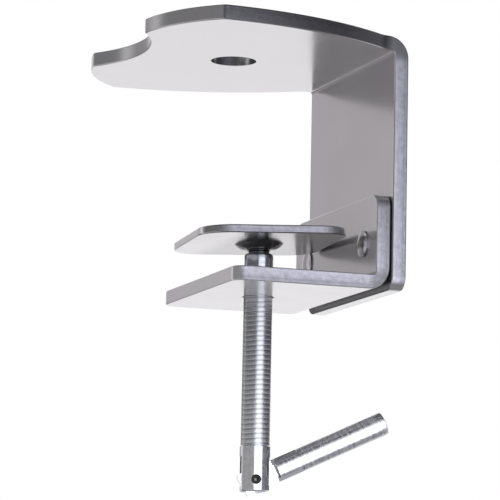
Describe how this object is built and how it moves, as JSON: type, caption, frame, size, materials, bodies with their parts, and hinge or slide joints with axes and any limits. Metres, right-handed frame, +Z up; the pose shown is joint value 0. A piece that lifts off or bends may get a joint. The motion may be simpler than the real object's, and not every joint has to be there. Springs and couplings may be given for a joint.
{
  "type": "table clamp",
  "caption": "Bench clamp bent from steel sheet, with a flared upper jaw, a swivelling pressure plate and a screw turned by a folding handle.",
  "frame": {"origin": "on the clamp screw's axis, in the underside of the upper jaw, the face that rests on the table top", "axes": "+Z up, along the screw; +X towards the upright at the back; the clamp opens towards -X; the part is symmetric about the XZ plane apart from its handle"},
  "size_m": [0.0927, 0.1176, 0.1477],
  "materials": {
    "silver_powder_coat": "satin",
    "zinc_plated_steel": "satin",
    "polished_plated_steel": "polished",
    "dark_spring_steel": "satin"
  },
  "bodies": {
    "bracket": {"upper_bracket": "silver_powder_coat", "lower_bracket": "silver_powder_coat", "bracket_rivet_near": "silver_powder_coat", "bracket_rivet_far": "silver_powder_coat"},
    "swivel": {"retaining_washer": "zinc_plated_steel"},
    "pad": {"pressure_plate": "silver_powder_coat"},
    "screw": {"clamp_screw": "zinc_plated_steel", "hinge_pin": "dark_spring_steel"},
    "handle": {"handle_rod": "polished_plated_steel", "handle_blade": "polished_plated_steel"}
  },
  "joints": [
    {"name": "screw_travel", "type": "slide", "parent": "bracket", "child": "swivel", "axis": [0, 0, 1], "range_m": [-0.007, 0.035]},
    {"name": "pad_tilt", "type": "hinge", "parent": "swivel", "child": "pad", "pos_m": [0, 0, -0.06164], "axis": [0.0924, 0.9957, 0], "range_deg": [-3.6, 8.4]},
    {"name": "screw_turn", "type": "hinge", "parent": "swivel", "child": "screw", "pos_m": [0, 0, -0.06164], "axis": [0, 0, 1], "range_deg": [-1600, 7950]},
    {"name": "handle_fold", "type": "hinge", "parent": "screw", "child": "handle", "pos_m": [0, 0, -0.13759], "axis": [-0.2147, -0.9767, 0], "range_deg": [-231.4, 1]}
  ],
  "couplings": [
    {"joint": "screw_turn", "follows": "screw_travel", "rad_per_m": 3957.9}
  ]
}
